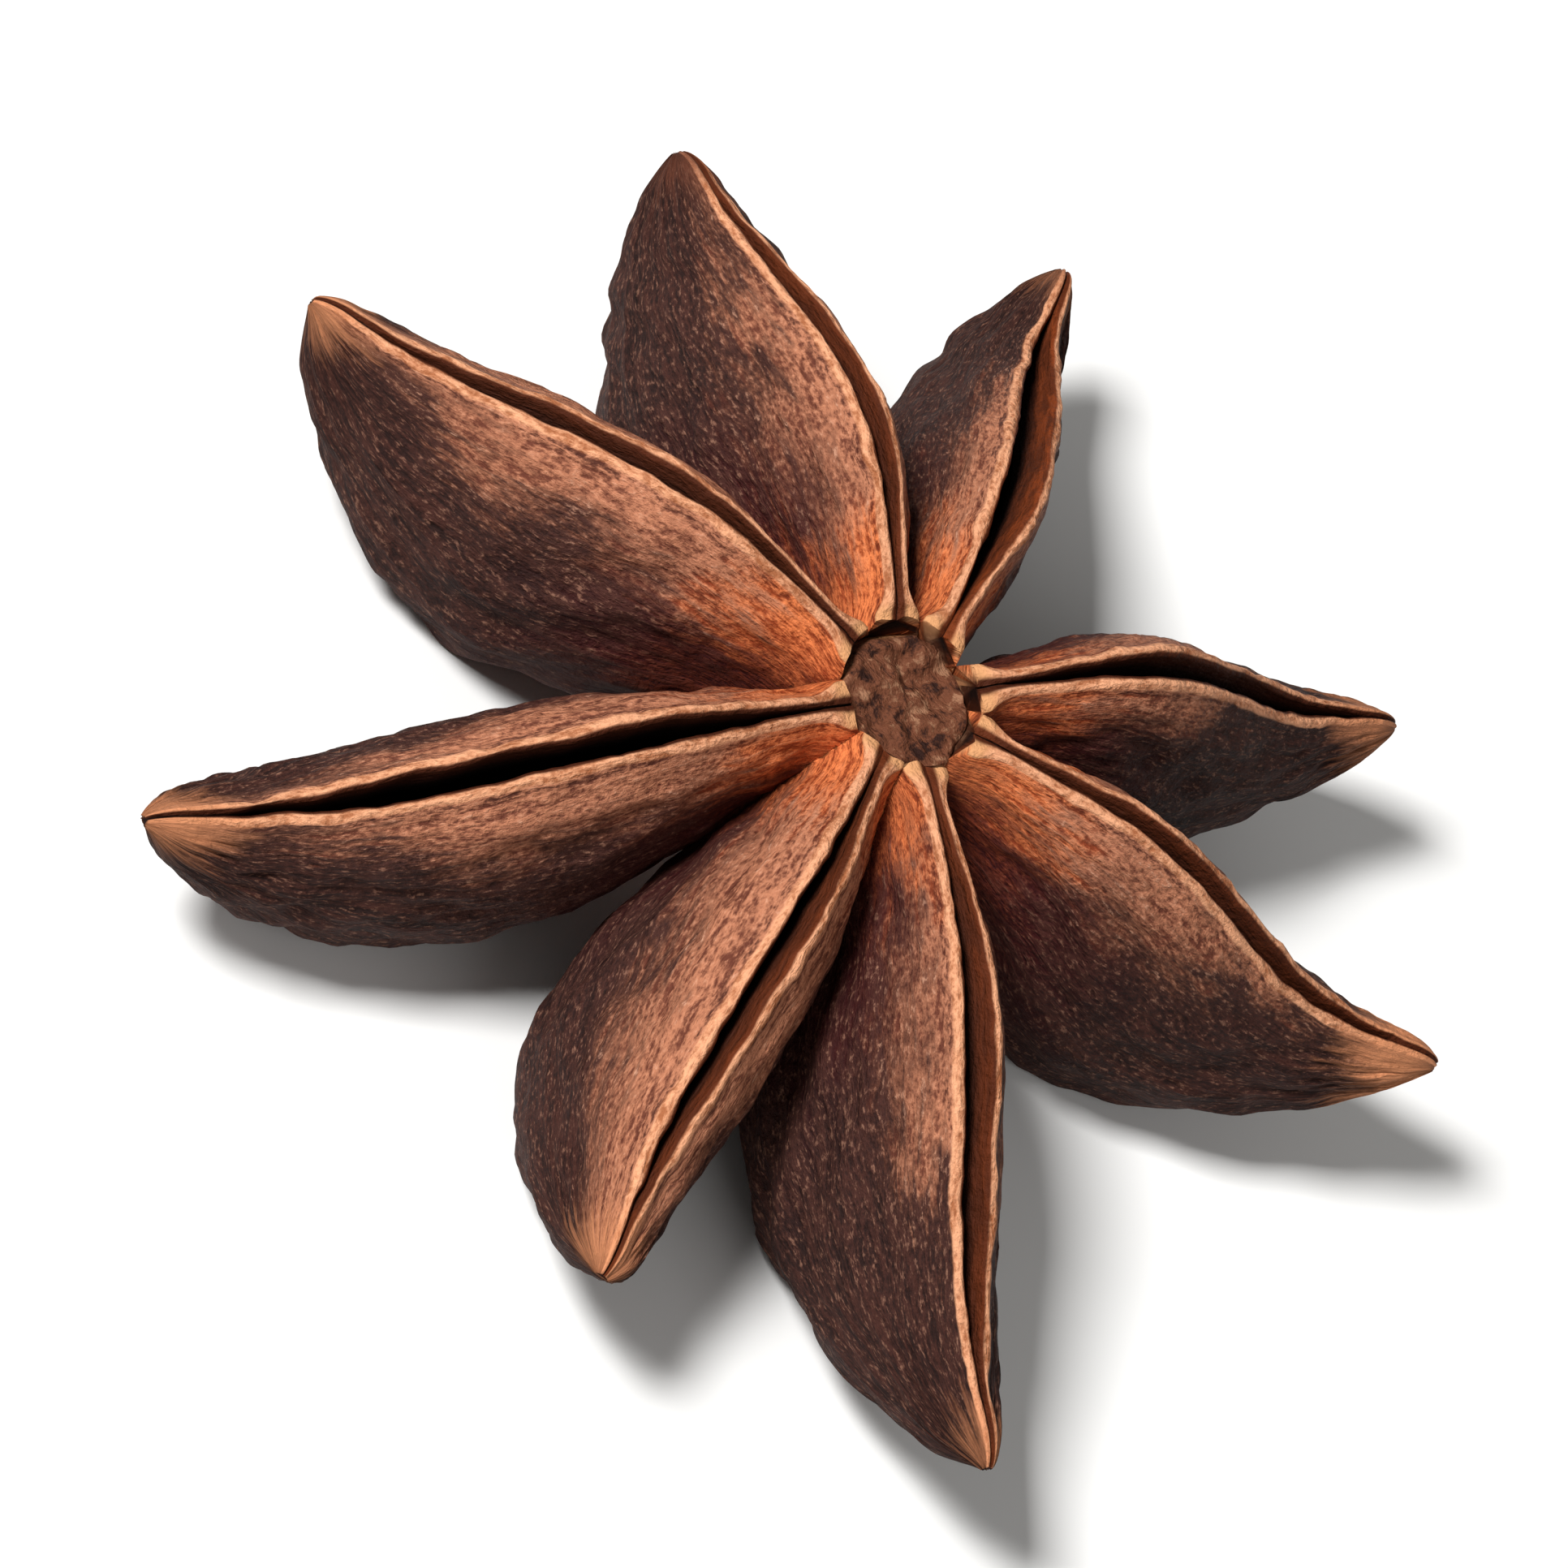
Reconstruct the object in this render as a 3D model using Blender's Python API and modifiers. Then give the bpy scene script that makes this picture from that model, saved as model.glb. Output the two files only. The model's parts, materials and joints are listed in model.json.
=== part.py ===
"""A dried star anise pod as one solid: eight split, boat-shaped carpels round a short column.

The pod lies with its seams up. +Z is up, and the origin is under the middle of its bounding box,
at the level that its keels rest on. The sizes below are millimetres, and Blender's unit is the metre.
"""

import math
from collections import namedtuple

import bmesh
import bpy
import numpy as np
from mathutils import Vector

MM = 0.001

# Going anticlockwise from above. azimuth is in degrees; reach is from the column's axis to the beak; depth is
# from seam to keel at its deepest, which is at the share called belly; gape is the widest opening of the seam;
# rise and droop arch the seam up and then down; bend carries the beak sideways, anticlockwise; tip is half
# of the beak's width; throat is the share of the seam's opening that is left below the bevel of its lips;
# level is the share of the way along where the droop is over; lean slants the belly sideways, anticlockwise.
Carpel = namedtuple("Carpel", "azimuth reach depth width gape rise droop belly bend tip throat level lean")
CARPELS = (
    Carpel( 27, 16.6, 8.3, 3.8, 0.42, 0.8, 3.3, 0.55,  1.9,  0.35, 0.30, 0.84,  0.0),
    Carpel( 65, 15.8, 8.1, 3.6, 0.55, 1.0, 3.4, 0.60, -0.4,  0.30, 0.80, 0.84,  0.0),
    Carpel(112, 15.1, 8.0, 3.2, 0.90, 0.3, 3.4, 0.50,  0.4,  0.32, 0.35, 0.92,  0.4),
    Carpel(152, 14.6, 8.7, 4.0, 0.45, 1.2, 3.1, 0.55,  0.7,  0.46, 0.25, 0.95,  0.0),
    Carpel(198, 15.7, 8.9, 4.0, 0.38, 0.7, 3.1, 0.50,  0.0,  0.38, 0.45, 0.95,  0.0),
    Carpel(250, 18.0, 8.6, 3.8, 0.55, 0.5, 3.6, 0.50, -1.3,  0.38, 0.75, 0.95,  0.0),
    Carpel(292, 15.1, 8.5, 3.5, 0.50, 0.8, 3.3, 0.55,  1.0,  0.55, 0.20, 0.95, -0.4),
    Carpel(328, 17.1, 8.7, 3.8, 0.65, 0.9, 3.1, 0.50,  1.1,  0.38, 0.22, 0.92,  0.0),
)

# Heights and sizes that all the carpels share. Along a carpel, s is 0 at the column and 1 at the beak.
SEAM_Z = 8.7            # seams where they leave the column
ROOT_X = 1.5            # carpels start inside the column's wall
ROOT_BOTTOM_Z = 2.8     # keels where they leave the column
ROOT_HALF_WIDTH = 0.8
TIP_DEPTH = 0.75
DROOP_FROM = 0.25
BOW_POWER = 1.6         # the keel's rise from the belly to the beak
SWELL_TO = 0.45         # widening from the root is over here
TAPER_FROM = 0.42       # narrowing to the beak starts here
TAPER_POWER = 0.9
BEAK_FROM = 0.94        # the beak rounds off over its last stretch
BEAK_FALL = 0.35        # and its seam rolls down by this
BEAK_BLUNT = 0.93       # below 1, so that it ends in a small blunt face
BEAK_HEIGHT = 0.35      # share of its height that the blunt end keeps
BEND_POWER = 3

# The lips beside the seam, and the hollow between them
LIP = 0.26
LIP_AT_BEAK = 0.50      # share of the lip's thickness that is left at the beak
LIP_THINS_FROM = 0.8
KNOB = 0.28             # the lips are this much thicker where they meet round the column's face
KNOB_ENDS = (0.01, 0.08)
WALL = 0.5              # thickness of the husk below the lips
BEVEL = 0.7             # depth over which the lips' inner edges close in on each other
BEVEL_MOST = 0.3        # and the largest share of the hollow that this takes
UNDERCUT = (0.8, 2.6)   # depths between which the wall's inner face widens to the hollow
SEAM_CLOSED = 0.03      # half the gap where a seam is shut
GROOVE = 0.08           # depth of the line that a shut seam leaves
SEAM_OPENS = (0.03, 0.40)
SEAM_SHUTS = (0.60, 0.95)
HOLLOW = 0.76           # its depth, as a share of the carpel's height
HOLLOW_STARTS = (0.04, 0.30)
HOLLOW_ENDS = (0.70, 0.95)

# A section, from its lips at share 0 of its height to its keel at share 1
WIDEST = 0.55
FLARE_POWER = 2.0       # how quickly the side leaves the lip
OUTER_SHARES = (0.0, 0.07, 0.18, 0.32, 0.48, 0.64, 0.79, 0.90, 0.97)
INNER_SHARES = (0.45, 0.80)
STATIONS = 22

# The column, its rough top face and the scar of the stalk
FACE_RADIUS = 1.55
FACE_SUNK = 0.50        # from the seams down to the face's hollow
FACE_HOLLOW = 0.7       # the hollow's radius, as a share of the face's
FACE_CROWN = 0.05       # the middle of the face stands this much over the hollow
FACE_RIM = 0.05         # and its rim this much
COLUMN_RADIUS = 1.8
COLUMN_WAIST = 2.0
COLUMN_BOTTOM_Z = 2.4
COLUMN_SHOULDER = 0.4   # height of the rounding at either end
SCAR_RADIUS = 0.95
SCAR_Z = 1.6
SCAR_HOLLOW = 0.2
SCAR_BOWL = (0.6, 0.7)  # its bowl has a corner at these shares of its radius and depth
COLUMN_STEPS = 24

# Relief of the husk: long wrinkles, and lumps along the keel
WRINKLE = 0.08
WRINKLE_SPACING = 2.3
WRINKLE_WANDER = 0.5
WANDER_RATE = 0.7       # radians for each millimetre along the carpel
LUMP = 0.07
LUMPS_ALONG = 5.0
LUMP_SLANT = 2.0
RELIEF_DOWN = (0.06, 0.30)
RELIEF_STARTS = (1.5, 4.0)
RELIEF_ENDS = (0.75, 0.95)
RELIEF_SEED = 8

SHARP_ANGLE = math.radians(50)
HUSK_COLOUR = (0.14, 0.055, 0.03, 1.0)
HUSK_ROUGHNESS = 0.62


def smooth(value, low, high):
    """0 below low, 1 above high, and an even S between them."""
    t = min(1.0, max(0.0, (value - low) / (high - low)))
    return t * t * (3 - 2 * t)


def at_beak(s, left):
    """1 along the carpel, closing over the beak's last stretch to the share that is left at its end."""
    into_beak = max(0.0, s - BEAK_FROM) / (1 - BEAK_FROM)
    blunt = math.sqrt(1 - BEAK_BLUNT**2)
    rounding = (math.sqrt(1 - (BEAK_BLUNT * into_beak) ** 2) - blunt) / (1 - blunt)
    return left + (1 - left) * rounding


def seam_height(carpel, s):
    arch = carpel.rise * math.sin(math.pi * s) - carpel.droop * smooth(s, DROOP_FROM, carpel.level)
    return SEAM_Z + arch - BEAK_FALL * (1 - at_beak(s, 0.0))


def keel_height(carpel, s):
    """Height of the keel: down from the column to the belly, then up the bow to the beak."""
    lowest = seam_height(carpel, carpel.belly) - carpel.depth
    if s < carpel.belly:
        return lowest + (ROOT_BOTTOM_Z - lowest) * (1 - smooth(s, 0.0, carpel.belly))
    beak = seam_height(carpel, 1.0) - TIP_DEPTH
    return lowest + (beak - lowest) * ((s - carpel.belly) / (1 - carpel.belly)) ** BOW_POWER


def depth_at(carpel, s):
    return (seam_height(carpel, s) - keel_height(carpel, s)) * at_beak(s, BEAK_HEIGHT)


def half_width(carpel, s):
    """Half of the carpel's width where it is widest, which swells past the column and tapers to the beak."""
    swell = ROOT_HALF_WIDTH + (carpel.width / 2 - ROOT_HALF_WIDTH) * smooth(s, 0.0, SWELL_TO)
    past = min(1.0, max(0.0, s - TAPER_FROM) / (1 - TAPER_FROM))
    taper = (1 - past**2) ** TAPER_POWER
    return (swell * taper + carpel.tip) * at_beak(s, BEAK_HEIGHT)


def half_gap(carpel, s):
    """Half of the seam's opening."""
    opened = smooth(s, *SEAM_OPENS) * (1 - smooth(s, *SEAM_SHUTS))
    return SEAM_CLOSED + (carpel.gape / 2 - SEAM_CLOSED) * opened


def lip_half(carpel, s):
    """Distance from the middle of the seam to the outer edge of a lip."""
    thinned = min(1.0, (1 - s) / (1 - LIP_THINS_FROM))
    lip = LIP * (LIP_AT_BEAK + (1 - LIP_AT_BEAK) * thinned) + KNOB * (1 - smooth(s, *KNOB_ENDS))
    return half_gap(carpel, s) + lip * at_beak(s, BEAK_HEIGHT)


def outer_half(carpel, s, share):
    """Half-width of the husk's outside at a share of the height, 0 at the lips and 1 at the keel."""
    lip = lip_half(carpel, s)
    widest = max(half_width(carpel, s), lip)
    if share < WIDEST:
        return lip + (widest - lip) * (1 - (1 - share / WIDEST) ** FLARE_POWER)
    return widest * math.sqrt(1 - ((share - WIDEST) / (1 - WIDEST)) ** 2)


def relief(phases, carpel, s, share):
    """Outward relief of the husk: long wavy wrinkles, and lumps towards the keel."""
    down = share * depth_at(carpel, s)
    along = s * carpel.reach
    wander = WRINKLE_WANDER * math.sin(WANDER_RATE * along + phases[0])
    wrinkles = math.sin(2 * math.pi * (down / WRINKLE_SPACING + wander) + phases[1])
    lumps = math.sin(2 * math.pi * LUMPS_ALONG * s + phases[2] + LUMP_SLANT * share)
    clear = smooth(share, *RELIEF_DOWN) * smooth(along, *RELIEF_STARTS) * (1 - smooth(s, *RELIEF_ENDS))
    return clear * (WRINKLE * wrinkles + LUMP * lumps * smooth(share, WIDEST, 1.0))


def section(phases, carpel, s):
    """Points (sideways, height) of a section: down one side, up the other, and round the hollow."""
    top = seam_height(carpel, s)
    depth = depth_at(carpel, s)
    gap = half_gap(carpel, s)
    hollow = max(GROOVE, HOLLOW * depth * smooth(s, *HOLLOW_STARTS) * (1 - smooth(s, *HOLLOW_ENDS)))
    outer = []
    for share in OUTER_SHARES:
        sideways = outer_half(carpel, s, share) + relief(phases, carpel, s, share)
        outer.append((sideways, top - share * depth))
    throat = gap * carpel.throat
    inner = [(gap, top), (throat, top - min(BEVEL, BEVEL_MOST * hollow))]
    for share in INNER_SHARES:
        below = share * hollow
        space = max(throat, outer_half(carpel, s, below / depth) - WALL)
        wall = throat + (space - throat) * smooth(below, *UNDERCUT)
        inner.append((wall * math.sqrt(1 - share**2), top - below))
    keel = (0.0, top - depth - relief(phases, carpel, s, 1.0))
    floor = (0.0, top - hollow)
    other_outer = [(-y, z) for y, z in reversed(outer)]
    other_inner = [(-y, z) for y, z in inner]
    ring = outer + [keel] + other_outer + other_inner + [floor] + inner[::-1]
    slant = carpel.lean / carpel.depth * smooth(s, 0.0, SWELL_TO)
    return [(y + slant * (top - z), z) for y, z in ring]


def new_object(name, bm, collection):
    mesh = bpy.data.meshes.new(name)
    bm.to_mesh(mesh)
    bm.free()
    made = bpy.data.objects.new(name, mesh)
    collection.objects.link(made)
    return made


def make_carpel(number, carpel, collection):
    """One husk, lofted through its sections from the column to the beak."""
    phases = np.random.default_rng(RELIEF_SEED + number).uniform(0, 2 * math.pi, 3)
    bm = bmesh.new()
    rings = []
    for station in range(STATIONS + 1):
        even = station / STATIONS
        eased = (1 - math.cos(math.pi * even)) / 2
        s = (even + eased) / 2
        x = ROOT_X + (carpel.reach - ROOT_X) * s
        bend = carpel.bend * s**BEND_POWER
        ring = [(x, y + bend, max(0.0, z)) for y, z in section(phases, carpel, s)]
        rings.append([bm.verts.new(Vector(point) * MM) for point in ring])
    for first, second in zip(rings, rings[1:]):
        for i, corner in enumerate(first):
            bm.faces.new((corner, first[i - 1], second[i - 1], second[i]))
    bm.faces.new(rings[0])
    bm.faces.new(rings[-1][::-1])
    bmesh.ops.recalc_face_normals(bm, faces=bm.faces)
    made = new_object(f"carpel_{number}", bm, collection)
    made.rotation_euler.z = math.radians(carpel.azimuth)
    return made


def make_column(collection):
    """The turned column that the carpels are fused to: a sunken top face, and the stalk's scar below."""
    face_z = SEAM_Z - FACE_SUNK
    bowl_radius, bowl_depth = SCAR_BOWL
    profile = (
        (0.0, face_z + FACE_CROWN),
        (FACE_RADIUS * FACE_HOLLOW, face_z),
        (FACE_RADIUS, face_z + FACE_RIM),
        (COLUMN_RADIUS, face_z - COLUMN_SHOULDER),
        (COLUMN_WAIST, (SEAM_Z + COLUMN_BOTTOM_Z) / 2),
        (COLUMN_RADIUS, COLUMN_BOTTOM_Z + COLUMN_SHOULDER),
        (SCAR_RADIUS, COLUMN_BOTTOM_Z),
        (SCAR_RADIUS, SCAR_Z),
        (SCAR_RADIUS * bowl_radius, SCAR_Z + SCAR_HOLLOW * bowl_depth),
        (0.0, SCAR_Z + SCAR_HOLLOW),
    )
    bm = bmesh.new()
    points = [bm.verts.new(Vector((x, 0.0, z)) * MM) for x, z in profile]
    for first, second in zip(points, points[1:]):
        bm.edges.new((first, second))
    made = new_object("star_anise_pod", bm, collection)
    turned = made.modifiers.new("Turned", "SCREW")
    turned.axis = "Z"
    turned.angle = 2 * math.pi
    turned.steps = turned.render_steps = COLUMN_STEPS
    turned.use_merge_vertices = True
    turned.merge_threshold = 0.00001
    return made


def fuse(pod, carpels):
    """Joins the carpels to the column as one solid, and removes them as separate objects."""
    joined = pod.modifiers.new("Carpels", "BOOLEAN")
    joined.operation = "UNION"
    joined.operand_type = "COLLECTION"
    joined.collection = carpels
    joined.solver = "EXACT"
    bpy.context.view_layer.update()
    evaluated = pod.evaluated_get(bpy.context.evaluated_depsgraph_get())
    mesh = bpy.data.meshes.new_from_object(evaluated)
    pod.modifiers.clear()
    pod.data = mesh
    mesh.name = pod.name
    for piece in list(carpels.objects):
        bpy.data.objects.remove(piece)
    bpy.data.collections.remove(carpels)


def stand_on_origin(mesh):
    """Moves the mesh so that the origin is under the middle of its box, at its lowest level."""
    points = np.array([vertex.co for vertex in mesh.vertices])
    low, high = points.min(axis=0), points.max(axis=0)
    middle = (low + high) / 2
    for vertex in mesh.vertices:
        vertex.co -= Vector((middle[0], middle[1], low[2]))


def husk_material():
    material = bpy.data.materials.new("husk")
    material.use_nodes = True
    shader = material.node_tree.nodes["Principled BSDF"]
    shader.inputs["Base Color"].default_value = HUSK_COLOUR
    shader.inputs["Roughness"].default_value = HUSK_ROUGHNESS
    shader.inputs["Metallic"].default_value = 0.0
    return material


def main():
    for old in list(bpy.data.objects):
        bpy.data.objects.remove(old)
    collection = bpy.data.collections.new("Star anise pod")
    bpy.context.scene.collection.children.link(collection)
    carpels = bpy.data.collections.new("Carpels")
    collection.children.link(carpels)
    pod = make_column(collection)
    for number, carpel in enumerate(CARPELS, start=1):
        make_carpel(number, carpel, carpels)
    fuse(pod, carpels)
    stand_on_origin(pod.data)
    pod.data.materials.append(husk_material())
    pod.data.shade_smooth()
    pod.data.set_sharp_from_angle(angle=SHARP_ANGLE)


main()
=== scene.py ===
"""The looks of a dried star anise pod: its wrinkled husk in fine relief, on a plain pale floor.

The husk is lofted again from the solid's own sizes, far more finely, and stands in for it. The frame is the
solid's, with +Z up out of the seams. Sizes are in millimetres until a mesh is made.
"""

import itertools
import json
import math
from collections import namedtuple

import bpy
import numpy as np
from mathutils import Matrix, Vector

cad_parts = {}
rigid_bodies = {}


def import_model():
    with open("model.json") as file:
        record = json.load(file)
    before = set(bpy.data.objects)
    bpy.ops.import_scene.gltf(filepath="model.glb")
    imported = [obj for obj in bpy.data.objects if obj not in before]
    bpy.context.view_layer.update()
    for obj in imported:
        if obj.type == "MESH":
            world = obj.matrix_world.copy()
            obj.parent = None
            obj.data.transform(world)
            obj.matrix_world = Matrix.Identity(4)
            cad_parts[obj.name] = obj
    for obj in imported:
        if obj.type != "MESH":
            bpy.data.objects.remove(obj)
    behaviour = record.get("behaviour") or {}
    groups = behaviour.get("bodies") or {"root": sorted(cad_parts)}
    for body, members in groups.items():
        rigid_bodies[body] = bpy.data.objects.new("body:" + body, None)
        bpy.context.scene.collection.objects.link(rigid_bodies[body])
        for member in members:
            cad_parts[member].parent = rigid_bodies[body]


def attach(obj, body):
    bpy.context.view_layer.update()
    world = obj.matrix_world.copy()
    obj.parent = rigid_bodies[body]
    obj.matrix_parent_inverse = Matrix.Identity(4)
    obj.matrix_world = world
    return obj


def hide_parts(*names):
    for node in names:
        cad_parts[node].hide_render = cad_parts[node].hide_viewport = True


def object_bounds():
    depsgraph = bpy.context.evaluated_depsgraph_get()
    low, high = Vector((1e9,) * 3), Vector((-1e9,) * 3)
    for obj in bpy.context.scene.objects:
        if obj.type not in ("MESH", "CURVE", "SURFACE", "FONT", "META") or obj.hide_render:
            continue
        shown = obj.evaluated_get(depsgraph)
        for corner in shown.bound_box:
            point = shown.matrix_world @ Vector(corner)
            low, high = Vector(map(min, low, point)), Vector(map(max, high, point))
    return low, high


MM = 0.001
NODE = "star_anise_pod"

# The solid's sizes, repeated. The carpels go anticlockwise from above. azimuth is in degrees; reach is from
# the column's axis to the beak; depth is from seam to keel at its deepest, at the share called belly; gape is
# the widest opening of the seam; rise and droop arch it; bend carries the beak sideways; tip is half of the
# beak's width; throat is the share of the opening left below the lips' bevel; level is the share of the way
# along where the droop is over; lean slants the belly sideways. Along a carpel, s is 0 at the column and 1 at
# the beak.
Carpel = namedtuple("Carpel", "azimuth reach depth width gape rise droop belly bend tip throat level lean")
CARPELS = (
    Carpel( 27, 16.6, 8.3, 3.8, 0.42, 0.8, 3.3, 0.55,  1.9,  0.35, 0.30, 0.84,  0.0),
    Carpel( 65, 15.8, 8.1, 3.6, 0.55, 1.0, 3.4, 0.60, -0.4,  0.30, 0.80, 0.84,  0.0),
    Carpel(112, 15.1, 8.0, 3.2, 0.90, 0.3, 3.4, 0.50,  0.4,  0.32, 0.35, 0.92,  0.4),
    Carpel(152, 14.6, 8.7, 4.0, 0.45, 1.2, 3.1, 0.55,  0.7,  0.46, 0.25, 0.95,  0.0),
    Carpel(198, 15.7, 8.9, 4.0, 0.38, 0.7, 3.1, 0.50,  0.0,  0.38, 0.45, 0.95,  0.0),
    Carpel(250, 18.0, 8.6, 3.8, 0.55, 0.5, 3.6, 0.50, -1.3,  0.38, 0.75, 0.95,  0.0),
    Carpel(292, 15.1, 8.5, 3.5, 0.50, 0.8, 3.3, 0.55,  1.0,  0.55, 0.20, 0.95, -0.4),
    Carpel(328, 17.1, 8.7, 3.8, 0.65, 0.9, 3.1, 0.50,  1.1,  0.38, 0.22, 0.92,  0.0),
)
COLUMN_AT = (-0.091, 1.160)   # where the column's axis stands in the solid's frame
SEAM_Z = 8.7
ROOT_X = 1.5
ROOT_BOTTOM_Z = 2.8
ROOT_HALF_WIDTH = 0.8
TIP_DEPTH = 0.75
DROOP_FROM = 0.25
BOW_POWER = 1.6
SWELL_TO = 0.45
TAPER_FROM = 0.42
TAPER_POWER = 0.9
BEAK_FROM = 0.94
BEAK_FALL = 0.35
BEAK_BLUNT = 0.93
BEAK_HEIGHT = 0.35
BEND_POWER = 3
LIP = 0.26
LIP_AT_BEAK = 0.50
LIP_THINS_FROM = 0.8
KNOB = 0.28
KNOB_ENDS = (0.01, 0.08)
WALL = 0.5
BEVEL = 0.7
BEVEL_MOST = 0.3
UNDERCUT = (0.8, 2.6)
SEAM_CLOSED = 0.03
GROOVE = 0.08
SEAM_OPENS = (0.03, 0.40)
SEAM_SHUTS = (0.60, 0.95)
HOLLOW = 0.76
HOLLOW_STARTS = (0.04, 0.30)
HOLLOW_ENDS = (0.70, 0.95)
WIDEST = 0.55
FLARE_POWER = 2.0
WRINKLE = 0.08
WRINKLE_SPACING = 2.3
WRINKLE_WANDER = 0.5
WANDER_RATE = 0.7
LUMP = 0.07
LUMPS_ALONG = 5.0
LUMP_SLANT = 2.0
RELIEF_DOWN = (0.06, 0.30)
RELIEF_STARTS = (1.5, 4.0)
RELIEF_ENDS = (0.75, 0.95)
RELIEF_SEED = 8
FACE_RADIUS = 1.55
FACE_SUNK = 0.50
FACE_HOLLOW = 0.7
FACE_CROWN = 0.05
FACE_RIM = 0.05
COLUMN_RADIUS = 1.8
COLUMN_WAIST = 2.0
COLUMN_BOTTOM_Z = 2.4
COLUMN_SHOULDER = 0.4
SCAR_RADIUS = 0.95
SCAR_Z = 1.6
SCAR_HOLLOW = 0.2
SCAR_BOWL = (0.6, 0.7)

# How finely the husk is lofted: stations along a carpel, and points round half a section, above its widest
# line and below it. The column is turned from a profile with a point at every step.
STATIONS = 104
POINTS_INSIDE = 12
POINTS_ON_LIP = 6
POINTS_ABOVE = 28
POINTS_BELOW = 14
INSIDE_CROWDING = 2     # above 1, so that the points inside crowd towards the lip
ABOVE_CROWDING = 1.35   # and those above the widest line as well
COLUMN_TURNS = 80
COLUMN_STEP = 0.12

# Noise. Each carpel and each kind of relief reads its own slice of it.
NOISE_SEED = 21
NOISE_TABLE = 256
NOISE_GAIN = 1.6        # brings it to about -1 to 1
LAYER_SHIFT = 5.3
CARPEL_SHIFT = 7.3
RIDGE_MIDDLE = 0.6      # taken off the ridges, so that they rise and fall about the surface

# The lips' crest, the waver of their edges, and the crease and the swell below them
LIP_ROUND = 0.08        # how far a lip's edges fall below its crest
LIP_FLATNESS = 3        # 1 would make the crest a ridge
ROUND_OVER = 1.5        # depth at which the fall is made up again on the outside
LIP_WAVER = 0.09
WAVER_LENGTH = 0.9
WAVER_INSIDE = 0.7      # share of it that the slit's edge takes
WAVER_DEPTH = 0.5       # depth over which the outer edge's waver dies away
CREST_WAVER = 0.8       # share of it that lowers the crest
CREST_LENGTH = 2.0
SLIT_SHIFT = 0.5
EDGE_SHIFT = 9.5
CREST_SHIFT = 4.5
LIPS_START = (0.05, 0.25)   # shares of the carpel over which all this comes in, and goes out again
LIPS_END = (0.85, 0.98)
CREASE = 0.03
CREASE_BELOW = 0.27
CREASE_HALF = 0.12
SHOULDER = 0.05
SHOULDER_BELOW = 0.85
SHOULDER_HALF = 0.45

# Relief of the husk: height, length along the grain and across it, and its shift in the noise
Relief = namedtuple("Relief", "height along across shift")
DENTS = Relief(0.09, 3.4, 2.4, 0)
RIDGES = Relief(0.14, 2.8, 0.55, 2)
GRAIN = Relief(0.06, 1.1, 0.38, 4)
PITS = Relief(0.04, 0.45, 0.45, 6)
KEEL_LUMPS = Relief(0.03, 1.2, 1.2, 8)
WALL_RELIEF = Relief(0.05, 1.5, 0.8, 3)
FINE_DOWN = (0.02, 0.08)    # where fine relief comes in, below the lips
FINE_STARTS = (1.5, 3.5)    # and out from the column, in millimetres
FINE_ENDS = (0.90, 0.99)
FINE_LOST = 0.7             # share of it that the beak loses
RIDGES_DOWN = (0.02, 0.12)
KEEL_DOWN = (0.75, 0.95)

# The lips' inner ends, worn back from the column's face
END_SLOPE = 0.24
END_UNEVEN = 0.6        # share by which that varies
END_RATE = 2.2
END_SHIFT = 3.1
END_DEPTH = 0.55        # depth at which the wear is over
END_STRETCH = 0.05      # and the share of the carpel's length

# Marks of the points. The place across the grain is in millimetres of husk from the keel.
GRAIN_SPAN = 9.5        # from the keel to a lip
UPPER_GRAIN = 0.52      # share of that above the widest line
LIP_INSIDE = 0.16       # the mark of being inside, at the slit's edge
LIP_INSIDE_FADES = (0.1, 0.6)
# The mark of depth inside sets the hollows' painted shade, and SLIT_SHADE deepens it on the floor where the
# slit is shallow
SLIT_SHADE = 1.1        # added on the floor of a slit where it is shallow
SLIT_DEEPENS = (0.12, 0.38)
SLIT_SHALLOWS = (0.62, 0.85)
WHOLLY_KNOWN = 0.999    # below this, a point is new from the union, and its marks are mended
MENDING_ROUNDS = 4

# The column's crumbly face, the fibres of the stalk's scar, and its uneven wall
FACE_RELIEF = 0.28
FACE_LENGTH = 0.75
FACE_SHIFT = 0.3
FACE_LAYERS = 4
FACE_EDGE = (-0.2, -0.05)   # heights about the face between which its relief comes in
SCAR_RELIEF = 0.11
SCAR_EDGE = (-0.1, 0.2)     # heights about the column's lower end between which the scar's relief goes out
FIBRE_WIDTH = 0.3
FIBRE_LENGTH = 1.5
COLUMN_UNEVEN = 0.12
UNEVEN_RATE = 1.5
UNEVEN_LENGTH = 2
ON_AXIS = 0.1           # points nearer the axis than this stay on it
SCAR_DOWN = 0.9
COLUMN_DUST = 0.5
COLUMN_BEAK_START = 0.93

SHARP_ANGLE = math.radians(65)
NO_LENGTH = 1e-9

# View: the direction that the photograph sees the pod from, and how far it is turned in the picture
VIEW_ELEVATION = 52.2
UP_FROM_RIGHT = 35.0
VIEW_DISTANCE = 0.30
VIEW_LENS = 305.0
VIEW_TARGET = (-0.000091, -0.000367, 0.0048)

# Studio
CLIP_START = 0.01
FLOOR_HALF = 0.6
FLOOR_ROUGHNESS = 0.8
WORLD_TINT = (1.0, 0.99, 0.97, 1.0)
WORLD_STRENGTH = 0.18

# Lamps: their direction from the pod as shares of the picture's right, up and back, then metres and watts
Lamp = namedtuple("Lamp", "name right up back distance size power")
LAMPS = (
    Lamp("key", -0.18, 0.40, 0.88, 0.40, 0.08, 2.35),
    Lamp("fill", 0.6, -0.4, 0.8, 0.45, 0.30, 0.32),
)
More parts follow.
